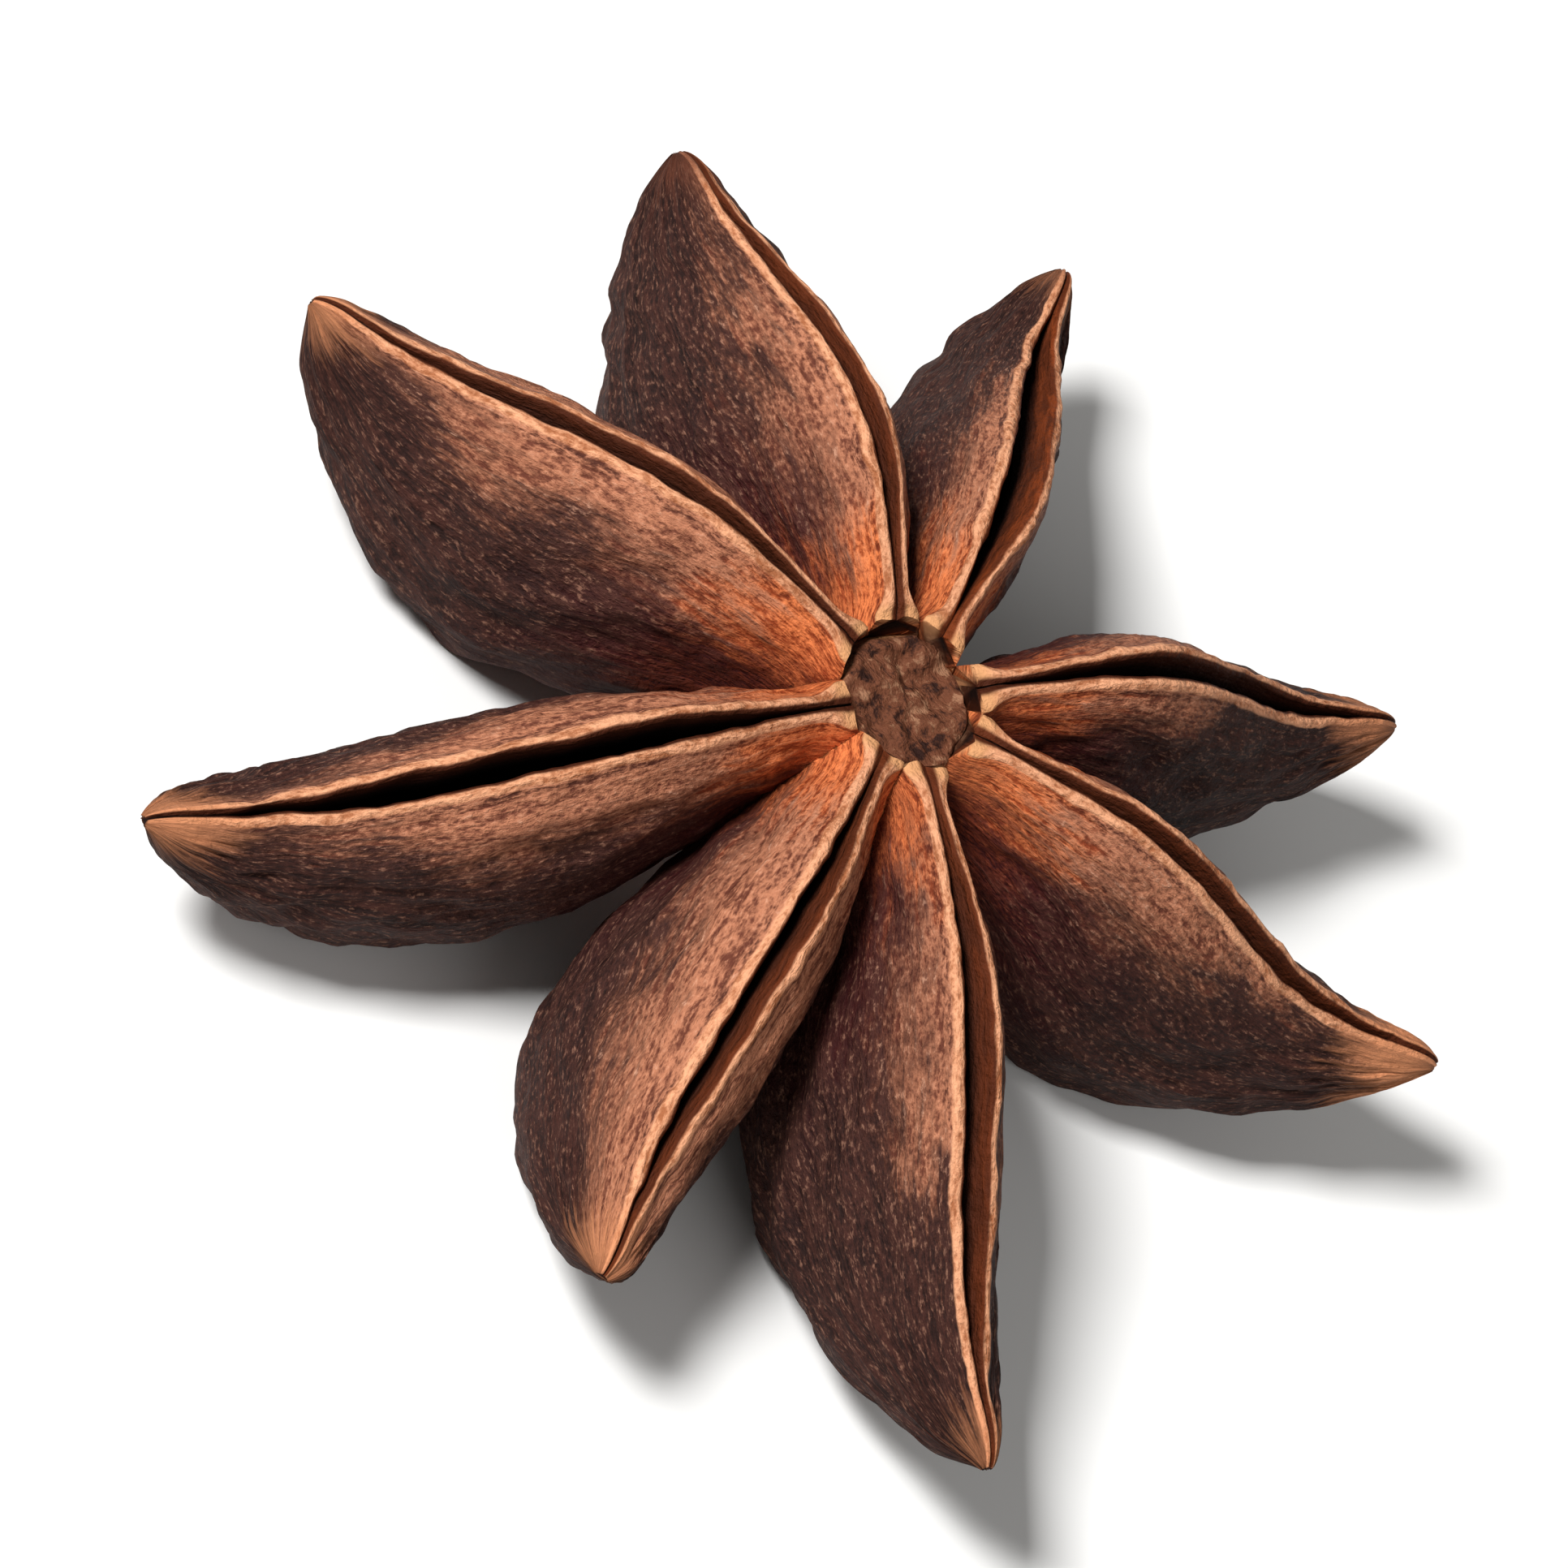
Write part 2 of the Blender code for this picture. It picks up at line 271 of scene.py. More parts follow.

# Colours, linear
# GREY_BROWN and MAROON, the dark of the lower sides, are darkened past the husk's own colour with painted
# shade
GREY_BROWN = (0.021, 0.0098, 0.0085, 1)
MAROON = (0.036, 0.0060, 0.0060, 1)
DUSK = (0.100, 0.034, 0.024, 1)
BROWN = (0.118, 0.034, 0.020, 1)
TAN = (0.450, 0.178, 0.096, 1)
# RUST and ORANGE, the roots' own colours, are brightened with painted light where the crevices at the roots
# fall in shade
RUST = (0.260, 0.046, 0.014, 1)
ORANGE = (0.750, 0.208, 0.068, 1)
# Pale flecks, partly the husk's own and partly painted glints on its ridges
PALE_FLECKS_AND_GLINTS = (0.600, 0.310, 0.200, 1)
# Partly the lips' own pale tan and partly painted highlight
LIP_PALE_AND_HIGHLIGHT = (0.700, 0.330, 0.180, 1)
LIP_TAN = (0.320, 0.108, 0.044, 1)
KNOB_PALE = (0.600, 0.290, 0.130, 1)
BEAK = (0.700, 0.280, 0.130, 1)
BEAK_DARK = (0.080, 0.018, 0.012, 1)
INNER_DARK = (0.055, 0.013, 0.005, 1)
INNER_PALE = (0.210, 0.042, 0.010, 1)
# Painted shade deep in the hollows
PAINTED_DEEP_SHADE = (0.016, 0.006, 0.004, 1)
COLUMN_BROWN = (0.140, 0.048, 0.024, 1)
COLUMN_PALE = (0.300, 0.145, 0.080, 1)
COLUMN_DARK = (0.028, 0.011, 0.008, 1)
FLOOR = (0.850, 0.845, 0.830, 1)

# The carpels, in their order: how dusty each is, how pale its beak and the walls of its hollow are (the
# walls' values partly painted shade, low where they face away from the light), and where along it the beak's
# colour starts
DUST = (0.52, 0.30, 0.46, 0.58, 0.64, 0.62, 0.84, 0.34)
BEAK_PALE = (1.0, 0.7, 0.5, 0.1, 0.9, 0.9, 0.85, 0.8)
WALL_PALENESS_AND_SHADE = (0.25, 0.0, 0.85, 0.30, 0.10, 0.0, 0.38, 0.32)
BEAK_STARTS = (0.79, 0.81, 0.88, 0.87, 0.87, 0.85, 0.86, 0.88)

# Patterns of the finish: rates along the grain and across it, and each noise's scale, detail, roughness and
# distortion
PATCH_RATES = (0.30, 0.40, 1.0)
PATCH_NOISE = (1.0, 4.0, 0.60, 0.0)
STREAK_RATES = (0.8, 4.4, 1.0)
STREAK_NOISE = (1.0, 4.0, 0.62, 0.35)
FINE_RATES = (5.2, 10.0, 1.0)
FINE_NOISE = (1.0, 4.0, 0.65, 0.0)
GRIT_NOISE = (3600.0, 3.0, 0.60, 0.0)
CRUMB_NOISE = (2400.0, 5.0, 0.70, 0.3)

# Bands of a pattern or a mark over which one colour turns into the next. One whose first number is the larger
# falls instead of rising.
MOTTLE = (0.39, 0.57)
AT_ROOT = (0.28, 0.06)
# Band over which the sides darken downwards, partly the husk's own colour and partly painted shade
DARKENS_WITH_PAINTED_SHADE = (0.02, 0.26)
GREYS = (0.20, 0.55)
DARK_END = (0.45, 0.85)
SPECKLE = (0.57, 0.67)
SPECKLE_FADES = (0.45, 0.10)
SPECKLE_STARTS = (0.05, 0.25)
DOTS = (0.54, 0.70)
DOTS_START = (0.10, 0.40)
LIP_MOTTLE = (0.38, 0.58)
AT_KNOB = (0.06, 0.01)
# The line below the lips is painted shade of the crease there
LINE_TOP = (0.004, 0.014)
LINE_FOOT = (0.036, 0.016)
LINE_ENDS = (0.98, 0.80)
LINE_BREAKS = (0.54, 0.42)
# Band of the painted highlight just over the lips' outer edges
LIP_EDGE_HIGHLIGHT = (0.010, 0.002)
WALL_STREAKS = (0.62, 0.40)
# Band of the depth mark over which the hollows' painted shade comes in
INTO_PAINTED_SHADE = (0.20, 0.95)
OVER_LIP = (0.03, 0.15)
CRUMBS_BROWN = (0.36, 0.50)
CRUMBS_PALE = (0.53, 0.66)
BEAK_LENGTH = 0.12

# Strengths of the finish. The drifts carry the edges of colours along and down the husk.
STREAK_DRIFT = 0.85
PATCH_DRIFT = 0.75
COLOUR_DRIFT = 0.55
BEAK_DRIFT = 0.22
BEAK_SLANT = -0.13
DUST_LOWERS = 0.30
DARK_END_RAISES = 0.40
LOW_MOTTLE = 0.45
SPECKLE_STRENGTH = 0.6
DOT_STRENGTH = 0.26
LINE_STRENGTH = 0.5
LIP_EDGE_HIGHLIGHT_STRENGTH = 0.8
BEAK_STRENGTH = 0.85
WALL_STREAK_STRENGTH = 0.7
BUMP_STREAKS = 0.5
BUMP_FINE = 0.35
BUMP_GRIT = 0.35
BUMP_STRENGTH = 0.9
BUMP_DISTANCE = 0.00030
ROUGHNESS = (0.55, 0.80)
SPECULAR = 0.08


def smooth(value, low, high):
    """0 below low, 1 above high, and an even S between them."""
    t = np.clip((value - low) / (high - low), 0.0, 1.0)
    return t * t * (3 - 2 * t)


def at_beak(s, left):
    """1 along the carpel, closing over the beak's last stretch to the share that is left at its end."""
    into_beak = np.clip((s - BEAK_FROM) / (1 - BEAK_FROM), 0.0, 1.0)
    blunt = math.sqrt(1 - BEAK_BLUNT**2)
    rounding = (np.sqrt(1 - (BEAK_BLUNT * into_beak) ** 2) - blunt) / (1 - blunt)
    return left + (1 - left) * rounding


def seam_height(carpel, s):
    arch = carpel.rise * np.sin(math.pi * s) - carpel.droop * smooth(s, DROOP_FROM, carpel.level)
    return SEAM_Z + arch - BEAK_FALL * (1 - at_beak(s, 0.0))


def keel_height(carpel, s):
    """Height of the keel: down from the column to the belly, then up the bow to the beak."""
    lowest = seam_height(carpel, carpel.belly) - carpel.depth
    beak = seam_height(carpel, 1.0) - TIP_DEPTH
    falling = lowest + (ROOT_BOTTOM_Z - lowest) * (1 - smooth(s, 0.0, carpel.belly))
    past = np.clip((s - carpel.belly) / (1 - carpel.belly), 0.0, 1.0)
    rising = lowest + (beak - lowest) * past**BOW_POWER
    return np.where(s < carpel.belly, falling, rising)


def depth_at(carpel, s):
    return (seam_height(carpel, s) - keel_height(carpel, s)) * at_beak(s, BEAK_HEIGHT)


def half_width(carpel, s):
    swell = ROOT_HALF_WIDTH + (carpel.width / 2 - ROOT_HALF_WIDTH) * smooth(s, 0.0, SWELL_TO)
    past = np.clip((s - TAPER_FROM) / (1 - TAPER_FROM), 0.0, 1.0)
    taper = (1 - past**2) ** TAPER_POWER
    return (swell * taper + carpel.tip) * at_beak(s, BEAK_HEIGHT)


def half_gap(carpel, s):
    opened = smooth(s, *SEAM_OPENS) * (1 - smooth(s, *SEAM_SHUTS))
    return SEAM_CLOSED + (carpel.gape / 2 - SEAM_CLOSED) * opened


def lip_half(carpel, s):
    thinned = np.minimum(1.0, (1 - s) / (1 - LIP_THINS_FROM))
    lip = LIP * (LIP_AT_BEAK + (1 - LIP_AT_BEAK) * thinned) + KNOB * (1 - smooth(s, *KNOB_ENDS))
    return half_gap(carpel, s) + lip * at_beak(s, BEAK_HEIGHT)


def outer_half(carpel, s, share):
    """Half-width of the husk's outside at a share of the height, 0 at the lips and 1 at the keel."""
    lip = lip_half(carpel, s)
    widest = np.maximum(half_width(carpel, s), lip)
    above = lip + (widest - lip) * (1 - np.clip(1 - share / WIDEST, 0.0, 1.0) ** FLARE_POWER)
    below = widest * np.sqrt(1 - np.clip((share - WIDEST) / (1 - WIDEST), 0.0, 1.0) ** 2)
    return np.where(share < WIDEST, above, below)


def relief(phases, carpel, s, share):
    """Outward relief of the solid: long wavy wrinkles, and lumps towards the keel."""
    down = share * depth_at(carpel, s)
    along = s * carpel.reach
    wander = WRINKLE_WANDER * np.sin(WANDER_RATE * along + phases[0])
    wrinkles = np.sin(2 * math.pi * (down / WRINKLE_SPACING + wander) + phases[1])
    lumps = np.sin(2 * math.pi * LUMPS_ALONG * s + phases[2] + LUMP_SLANT * share)
    clear = smooth(share, *RELIEF_DOWN) * smooth(along, *RELIEF_STARTS) * (1 - smooth(s, *RELIEF_ENDS))
    return clear * (WRINKLE * wrinkles + LUMP * lumps * smooth(share, WIDEST, 1.0))


def noise(x, y, z):
    """Smooth gradient noise from about -1 to 1, the same on every run."""
    random = np.random.default_rng(NOISE_SEED)
    order = random.permutation(NOISE_TABLE)
    slopes = random.normal(size=(NOISE_TABLE, 3))
    slopes /= np.linalg.norm(slopes, axis=1)[:, None]
    points = np.stack(np.broadcast_arrays(x, y, z), axis=-1).astype(float)
    cell = np.floor(points).astype(int)
    within = points - cell
    fade = within**3 * (within * (within * 6 - 15) + 10)
    total = np.zeros(points.shape[:-1])
    for corner in itertools.product((0, 1), repeat=3):
        at = cell + corner
        hashed = 0
        for axis in range(3):
            hashed = order[(hashed + at[..., axis]) % NOISE_TABLE]
        value = (slopes[hashed] * (within - corner)).sum(axis=-1)
        weight = np.where(corner, fade, 1 - fade).prod(axis=-1)
        total += value * weight
    return total * NOISE_GAIN


def layered(x, y, z, layers=2):
    """Noise with finer layers on it, each at twice the rate and half the strength."""
    total = 0.0
    for layer in range(layers):
        rate = 2**layer
        total = total + noise(x * rate, y * rate, z + LAYER_SHIFT * layer) / rate
    return total


def ridges(x, y, z):
    """Sharp-crested wrinkles from about -0.6 to 0.4."""
    return (1 - np.abs(noise(x, y, z))) ** 2 - RIDGE_MIDDLE


def raised(kind, pattern, x, across, own):
    """One kind of relief, drawn by a pattern of noise."""
    return kind.height * pattern(x / kind.along, across / kind.across, own + kind.shift)


def half_section(carpel, number, side, phases, s):
    """Half of every section, from the floor of the hollow over the lip to the keel.

    Returns the points' sideways and height, and marks for the finish: how far down the outside they are,
    how deep inside the hollow, which also sets the hollow's painted shade, whether on the lip, and their
    place across the grain.
    """
    s = s[:, None]
    along = s * carpel.reach
    top = seam_height(carpel, s)
    depth = depth_at(carpel, s)
    own = number * CARPEL_SHIFT + side

    # The slit's edge, the lip's outer edge and its crest, and the hollow's depth
    opened = smooth(s, *LIPS_START) * (1 - smooth(s, *LIPS_END))
    waver = LIP_WAVER * opened * layered(along / WAVER_LENGTH, own, SLIT_SHIFT, 3)
    gap = np.maximum(SEAM_CLOSED, half_gap(carpel, s) + waver * WAVER_INSIDE)
    edge = lip_half(carpel, s) + LIP_WAVER * opened * layered(along / WAVER_LENGTH, own, EDGE_SHIFT, 3)
    lowered = np.abs(layered(along / CREST_LENGTH, own, CREST_SHIFT))
    crest = top - LIP_WAVER * CREST_WAVER * opened * lowered
    hollow = HOLLOW * depth * smooth(s, *HOLLOW_STARTS) * (1 - smooth(s, *HOLLOW_ENDS))
    hollow = np.maximum(GROOVE, hollow)

    # From the hollow's floor up its wall
    turn = (math.pi / 2) * np.linspace(1.0, 0.0, POINTS_INSIDE, endpoint=False)[None] ** INSIDE_CROWDING
    below = np.sin(turn) * hollow
    bevel = np.minimum(BEVEL, BEVEL_MOST * hollow)
    throat = gap * (1 - (1 - carpel.throat) * np.clip(below / bevel, 0.0, 1.0))
    space = np.maximum(throat, outer_half(carpel, s, below / depth) - WALL)
    inner_y = (throat + (space - throat) * smooth(below, *UNDERCUT)) * np.cos(turn)
    inner_z = crest - LIP_ROUND - below

    # Over the lip
    across = np.linspace(0.0, 1.0, POINTS_ON_LIP)[None]
    lip_y = gap + (edge - gap) * across
    lip_z = crest - LIP_ROUND * np.abs(2 * across - 1) ** LIP_FLATNESS

    # Down the outside to the widest line
    share = WIDEST * (np.arange(1, POINTS_ABOVE + 1) / POINTS_ABOVE)[None] ** ABOVE_CROWDING
    down = share * depth
    shift = (edge - lip_half(carpel, s)) * np.exp(-down / WAVER_DEPTH)
    crease = CREASE * opened * np.exp(-(((down - CREASE_BELOW) / CREASE_HALF) ** 2))
    shoulder = SHOULDER * opened * np.exp(-(((down - SHOULDER_BELOW) / SHOULDER_HALF) ** 2))
    upper_y = outer_half(carpel, s, share) + shift - crease + shoulder + relief(phases, carpel, s, share)
    upper_z = crest - LIP_ROUND * (1 - smooth(down, 0.0, ROUND_OVER)) - down

    # And on to the keel
    low = (np.arange(1, POINTS_BELOW + 1) / POINTS_BELOW)[None] * math.pi / 2
    low_share = WIDEST + (1 - WIDEST) * np.sin(low)
    bulge = relief(phases, carpel, s, low_share)
    widest = outer_half(carpel, s, np.full_like(s, WIDEST))
    lower_y = (widest + bulge) * np.cos(low)
    lower_z = crest - low_share * depth - bulge * np.sin(low)

    ones = np.ones_like(s)
    # The mark of depth inside, which sets the hollow's painted shade, grows faster on the floor where the
    # slit is shallow
    shallow = 1 - smooth(s, *SLIT_DEEPENS) * (1 - smooth(s, *SLIT_SHALLOWS))
    inside = LIP_INSIDE + below + SLIT_SHADE * shallow * below / hollow
    lip_inside = LIP_INSIDE * (1 - smooth(across, *LIP_INSIDE_FADES)) * ones
    grain_in = GRAIN_SPAN + LIP + below
    grain_lip = GRAIN_SPAN + LIP * (1 - across) * ones
    grain_up = GRAIN_SPAN * (1 - UPPER_GRAIN * share / WIDEST) * ones
    grain_low = GRAIN_SPAN * (1 - UPPER_GRAIN) * (1 - low / (math.pi / 2)) * ones
    blank = [np.zeros_like(part) for part in (inner_y, lip_y, upper_y, lower_y)]
    marks = {
        "down": [blank[0], blank[1], 1 - grain_up / GRAIN_SPAN, 1 - grain_low / GRAIN_SPAN],
        "inside": [inside, lip_inside, blank[2], blank[3]],
        "lip": [blank[0], np.ones_like(lip_y), blank[2], blank[3]],
        "grain": [grain_in * side, grain_lip * side, grain_up * side, grain_low * side],
    }
    y = np.concatenate([inner_y, lip_y, upper_y, lower_y], axis=1) * side
    z = np.concatenate([inner_z, lip_z, upper_z, lower_z], axis=1)
    y = y + carpel.lean / carpel.depth * smooth(s, 0.0, SWELL_TO) * (top - z)
    return y, z, {name: np.concatenate(parts, axis=1) for name, parts in marks.items()}


def normals_of(grid):
    """Unit normals of a grid of points whose second axis closes on itself."""
    forward = np.gradient(grid, axis=0)
    around = np.roll(grid, -1, axis=1) - np.roll(grid, 1, axis=1)
    normal = np.cross(around, forward)
    return normal / np.maximum(np.linalg.norm(normal, axis=2), NO_LENGTH)[..., None]


def carpel_grid(carpel, number):
    """One husk's points, as a grid of its sections, and the marks of its points."""
    phases = np.random.default_rng(RELIEF_SEED + number).uniform(0, 2 * math.pi, 3)
    even = np.linspace(0.0, 1.0, STATIONS)
    s = (even + (1 - np.cos(math.pi * even)) / 2) / 2
    right_y, right_z, right = half_section(carpel, number, 1, phases, s)
    left_y, left_z, left = half_section(carpel, number, -1, phases, s)
    y = np.concatenate([right_y, left_y[:, -2:0:-1]], axis=1)
    z = np.concatenate([right_z, left_z[:, -2:0:-1]], axis=1)
    marks = {name: np.concatenate([right[name], left[name][:, -2:0:-1]], axis=1) for name in right}
    x = np.broadcast_to((ROOT_X + (carpel.reach - ROOT_X) * s)[:, None], y.shape)
    under = seam_height(carpel, s)[:, None] - z
    worn = END_SLOPE * (1 + END_UNEVEN * noise(y * END_RATE, number * END_SHIFT, 0.0))
    x = x + worn * (1 - smooth(under, 0.0, END_DEPTH)) * (1 - smooth(s, 0.0, END_STRETCH))[:, None]
    share = np.broadcast_to(s[:, None], y.shape)
    grid = np.stack([x, y + carpel.bend * share**BEND_POWER, z], axis=2)

    across, down = marks["grain"], marks["down"]
    outside = smooth(down, *FINE_DOWN) * smooth(x, *FINE_STARTS)
    outside = outside * (1 - FINE_LOST * smooth(share, *FINE_ENDS))
    own = number * CARPEL_SHIFT
    rise = raised(DENTS, layered, x, across, own)
    rise = rise + raised(RIDGES, ridges, x, across, own) * smooth(down, *RIDGES_DOWN)
    rise = rise + raised(GRAIN, noise, x, across, own)
    rise = rise + raised(PITS, noise, x, across, own)
    rise = rise + raised(KEEL_LUMPS, layered, x, across, own) * smooth(down, *KEEL_DOWN)
    inner = np.minimum(marks["inside"], 1.0) * raised(WALL_RELIEF, noise, x, across, own)
    grid = grid + normals_of(grid) * (rise * outside + inner)[..., None]
    grid[..., 2] = np.maximum(grid[..., 2], 0.0)
    marks["share"] = share
    marks["grain"] = np.stack([x, across, np.full_like(y, own)], axis=2)
    marks["core"] = np.zeros_like(y)
    own_marks = {"dust": DUST, "beak": BEAK_PALE, "wall": WALL_PALENESS_AND_SHADE, "beak_from": BEAK_STARTS}
    for name, values in own_marks.items():
        marks[name] = np.full_like(y, values[number - 1])
    return grid, marks


def column_grid():
    """The column's points, turned round its axis, and their marks."""
    face_z = SEAM_Z - FACE_SUNK
    bowl_radius, bowl_depth = SCAR_BOWL
    profile = np.array((
        (0.0, face_z + FACE_CROWN),
        (FACE_RADIUS * FACE_HOLLOW, face_z),
        (FACE_RADIUS, face_z + FACE_RIM),
        (COLUMN_RADIUS, face_z - COLUMN_SHOULDER),
        (COLUMN_WAIST, (SEAM_Z + COLUMN_BOTTOM_Z) / 2),
        (COLUMN_RADIUS, COLUMN_BOTTOM_Z + COLUMN_SHOULDER),
        (SCAR_RADIUS, COLUMN_BOTTOM_Z),
        (SCAR_RADIUS, SCAR_Z),
        (SCAR_RADIUS * bowl_radius, SCAR_Z + SCAR_HOLLOW * bowl_depth),
        (0.0, SCAR_Z + SCAR_HOLLOW),
    ))
    lengths = np.linalg.norm(np.diff(profile, axis=0), axis=1)
    travelled = np.concatenate([[0.0], np.cumsum(lengths)])
    at = np.linspace(0.0, travelled[-1], int(travelled[-1] / COLUMN_STEP))
    radius = np.interp(at, travelled, profile[:, 0])[:, None]
    height = np.interp(at, travelled, profile[:, 1])[:, None]
    angle = np.linspace(0.0, 2 * math.pi, COLUMN_TURNS, endpoint=False)[None]
    x, y = radius * np.cos(angle), radius * np.sin(angle)
    face_foot, face_top = FACE_EDGE
    scar_top, scar_foot = SCAR_EDGE
    on_face = smooth(height, face_z + face_foot, face_z + face_top)
    on_scar = 1 - smooth(height, COLUMN_BOTTOM_Z + scar_top, COLUMN_BOTTOM_Z + scar_foot)
    rough = layered(x / FACE_LENGTH, y / FACE_LENGTH, FACE_SHIFT, FACE_LAYERS)
    fibres = layered(x / FIBRE_WIDTH, y / FIBRE_WIDTH, height / FIBRE_LENGTH)
    z = height + FACE_RELIEF * rough * on_face - SCAR_RELIEF * np.abs(fibres) * on_scar
    uneven = noise(np.cos(angle) * UNEVEN_RATE, np.sin(angle) * UNEVEN_RATE, height / UNEVEN_LENGTH)
    swell = 1 + COLUMN_UNEVEN * uneven * (radius > ON_AXIS)
    grid = np.stack([x * swell, y * swell, np.broadcast_to(z, x.shape)], axis=2)
    marks = {
        "down": np.broadcast_to(on_scar * SCAR_DOWN, x.shape),
        "inside": np.zeros_like(x),
        "lip": np.zeros_like(x),
        "share": np.zeros_like(x),
        "core": np.broadcast_to(on_face, x.shape),
        "dust": np.full_like(x, COLUMN_DUST),
        "beak": np.zeros_like(x),
        "wall": np.zeros_like(x),
        "beak_from": np.full_like(x, COLUMN_BEAK_START),
        "grain": np.stack([x, y, np.broadcast_to(height, x.shape)], axis=2),
    }
    return grid, marks


def mesh_of(name, grid, marks, azimuth, poles):
    """A closed mesh, kept within the solid's box, from a grid that closes on itself sideways.

    With poles, each of its two end rings is a single point, and without, each is closed by one face.
    """
    rows, columns = grid.shape[:2]
    turn = math.radians(azimuth)
    x = grid[..., 0] * math.cos(turn) - grid[..., 1] * math.sin(turn) + COLUMN_AT[0]
    y = grid[..., 0] * math.sin(turn) + grid[..., 1] * math.cos(turn) + COLUMN_AT[1]
    placed = np.stack([x, y, grid[..., 2]], axis=2) * MM
    placed = np.clip(placed, np.array(CAD_BOX[0]), np.array(CAD_BOX[1]))
    first = 1 if poles else 0
    last = rows - 1 if poles else rows
    body = placed[first:last].reshape(-1, 3)
    number = np.arange((last - first) * columns).reshape(last - first, columns)
    a, b = number[:-1], number[1:]
    quads = np.stack([a, b, np.roll(b, -1, axis=1), np.roll(a, -1, axis=1)], axis=2).reshape(-1, 4)
    faces = quads.tolist()
    points = body
    if poles:
        points = np.concatenate([body, placed[0, :1], placed[-1, :1]])
        top, bottom = len(body), len(body) + 1
        for i in range(columns):
            after = (i + 1) % columns
            faces.append([top, int(number[0, i]), int(number[0, after])])
            faces.append([bottom, int(number[-1, after]), int(number[-1, i])])
    else:
        faces.append(number[0].tolist())
        faces.append(number[-1][::-1].tolist())
    mesh = bpy.data.meshes.new(name)
    mesh.from_pydata(points.tolist(), [], faces)
    marks = dict(marks, known=np.ones(grid.shape[:2]))
    for key, values in marks.items():
        kept = values[first:last].reshape(-1, *values.shape[2:])
        if poles:
            kept = np.concatenate([kept, values[0, :1], values[-1, :1]])
        vector = kept.ndim == 2
        made = mesh.attributes.new(key, "FLOAT_VECTOR" if vector else "FLOAT", "POINT")
        made.data.foreach_set("vector" if vector else "value", kept.astype(np.float32).ravel())
    return mesh


def outward(mesh):
    """Turns the mesh's faces outward if its volume comes out negative."""
    mesh.calc_loop_triangles()
    points = np.array([vertex.co for vertex in mesh.vertices])
    corners = points[np.array([face.vertices for face in mesh.loop_triangles])]
    volume = np.einsum("ij,ij->i", corners[:, 0], np.cross(corners[:, 1], corners[:, 2])).sum()
    if volume < 0:
        mesh.flip_normals()


def read_mark(mesh, name):
    """A mark's values, with a row for each point."""
    data = mesh.attributes[name].data
    if mesh.attributes[name].data_type == "FLOAT_VECTOR":
        values = np.zeros(len(data) * 3, np.float32)
        data.foreach_get("vector", values)
        return values.reshape(-1, 3)
    values = np.zeros(len(data), np.float32)
    data.foreach_get("value", values)
    return values[:, None]


def mend_marks(mesh, names):
    """Gives the points that the union made the mean marks of their neighbours."""
    edges = np.array([edge.vertices for edge in mesh.edges])
    both = np.concatenate([edges, edges[:, ::-1]])
    known = (read_mark(mesh, "known")[:, 0] > WHOLLY_KNOWN).astype(float)
    values = {name: read_mark(mesh, name).astype(float) for name in names}
    for _ in range(MENDING_ROUNDS):
        weight = np.zeros(len(known))
        np.add.at(weight, both[:, 0], known[both[:, 1]])
        fill = (known == 0) & (weight > 0)
        for name, value in values.items():
            total = np.zeros_like(value)
            np.add.at(total, both[:, 0], value[both[:, 1]] * known[both[:, 1]][:, None])
            value[fill] = total[fill] / weight[fill][:, None]
        known[fill] = 1.0
    for name, value in values.items():
        key = "vector" if value.shape[1] == 3 else "value"
        mesh.attributes[name].data.foreach_set(key, value.astype(np.float32).ravel())
    mesh.attributes.remove(mesh.attributes["known"])


def make_husk():
    """The whole pod as one closed mesh, with its marks."""
    scene = bpy.context.scene
    grid, marks = column_grid()
    names = list(marks)
    mesh = mesh_of("husk", grid, marks, 0.0, poles=True)
    outward(mesh)
    husk = bpy.data.objects.new("husk", mesh)
    scene.collection.objects.link(husk)
    others = bpy.data.collections.new("Carpels")
    scene.collection.children.link(others)
    for number, carpel in enumerate(CARPELS, start=1):
        grid, marks = carpel_grid(carpel, number)
        mesh = mesh_of(f"carpel_{number}", grid, marks, carpel.azimuth, poles=False)
        outward(mesh)
        others.objects.link(bpy.data.objects.new(mesh.name, mesh))
    union = husk.modifiers.new("Union", "BOOLEAN")
    union.operation = "UNION"
    union.operand_type = "COLLECTION"
    union.collection = others
    union.solver = "MANIFOLD"
    bpy.context.view_layer.update()
    whole = bpy.data.meshes.new_from_object(husk.evaluated_get(bpy.context.evaluated_depsgraph_get()))
    husk.modifiers.clear()
    husk.data = whole
    for piece in list(others.objects):
        bpy.data.objects.remove(piece)
    bpy.data.collections.remove(others)
    mend_marks(whole, names)
    whole.shade_smooth()
    whole.set_sharp_from_angle(angle=SHARP_ANGLE)
    return husk


